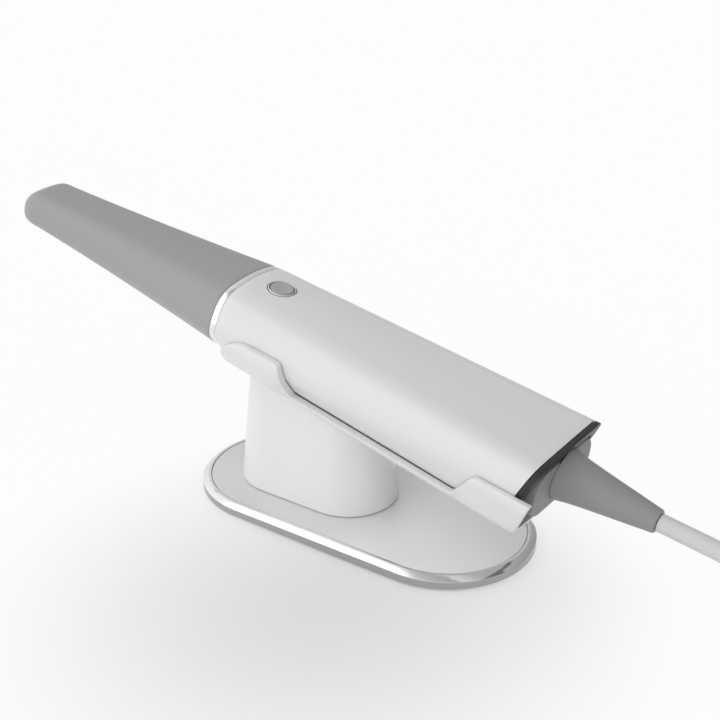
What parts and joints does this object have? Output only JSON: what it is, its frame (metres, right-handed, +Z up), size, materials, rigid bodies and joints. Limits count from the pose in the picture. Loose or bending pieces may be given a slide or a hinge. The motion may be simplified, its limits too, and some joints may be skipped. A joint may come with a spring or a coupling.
{
  "type": "intraoral scanner",
  "caption": "Corded dental scanning handpiece with a pull-off grey tip sleeve, a scan button and a coiled cable, lying in a cradle on a column stand.",
  "frame": {"origin": "centre of the base's underside, on the surface that the stand rests on", "axes": "+Z up, +X along the handpiece towards its cable end, so the tip points to -X"},
  "size_m": [0.3926, 0.0976, 0.0915],
  "materials": {
    "white_shell": "glossy white moulded plastic",
    "white_stand": "satin white moulded plastic",
    "grey_tip": "smooth satin grey autoclavable plastic",
    "relief_rubber": "satin grey overmoulded rubber",
    "black_plastic": "black moulded plastic",
    "chrome_trim": "bright polished trim",
    "button_metal": "brushed silver cap",
    "polished_rim": "polished metal rim with a bevelled edge",
    "satin_panel": "satin silver top panel",
    "weight_steel": "plain steel plate",
    "screw_steel": "zinc plated steel",
    "chassis_metal": "cast aluminium, bead blasted",
    "circuit_board": "green solder mask",
    "front_glass": "coated optical window",
    "tip_mirror": "front-surface mirror",
    "foot_rubber": "black anti-slip pad",
    "cable_jacket": "pale grey matt cable jacket",
    "tie_rubber": "black strap",
    "plug_plastic": "pale moulded plug",
    "plug_steel": "plated connector shell"
  },
  "bodies": {
    "stand": {"upper_shell": "white_shell", "lower_shell": "white_shell", "shell_screw_left": "screw_steel", "shell_screw_right": "screw_steel", "button_bezel": "chrome_trim", "tact_switch": "black_plastic", "button_board": "circuit_board", "nose_barrel": "black_plastic", "barrel_glass": "front_glass", "collar_ring": "chrome_trim", "optical_chassis": "chassis_metal", "camera_module": "black_plastic", "projector_module": "black_plastic", "camera_lens": "black_plastic", "projector_lens": "black_plastic", "main_board": "circuit_board", "rear_ring": "black_plastic", "rear_cap": "relief_rubber", "strain_relief": "relief_rubber", "cradle": "white_stand", "column": "white_stand", "column_screw_front": "screw_steel", "column_screw_rear": "screw_steel", "base_rim": "polished_rim", "base_panel": "satin_panel", "base_weight": "weight_steel", "foot_pad": "foot_rubber", "cable_run": "cable_jacket", "cable_coil": "cable_jacket", "cable_tie": "tie_rubber", "cable_tail": "cable_jacket", "plug_body": "plug_plastic", "plug_shell": "plug_steel"},
    "tip": {"tip_sleeve": "grey_tip", "tip_mirror": "tip_mirror"},
    "button": {"button_cap": "button_metal"}
  },
  "joints": [
    {"name": "tip_pull", "type": "slide", "parent": "stand", "child": "tip", "axis": [-0.9839, 0, 0.1788], "range_m": [0, 0.064]},
    {"name": "button_press", "type": "slide", "parent": "stand", "child": "button", "axis": [-0.2194, 0, -0.9756], "range_m": [0, 0.0005], "stiffness_N_per_m": 1500}
  ]
}
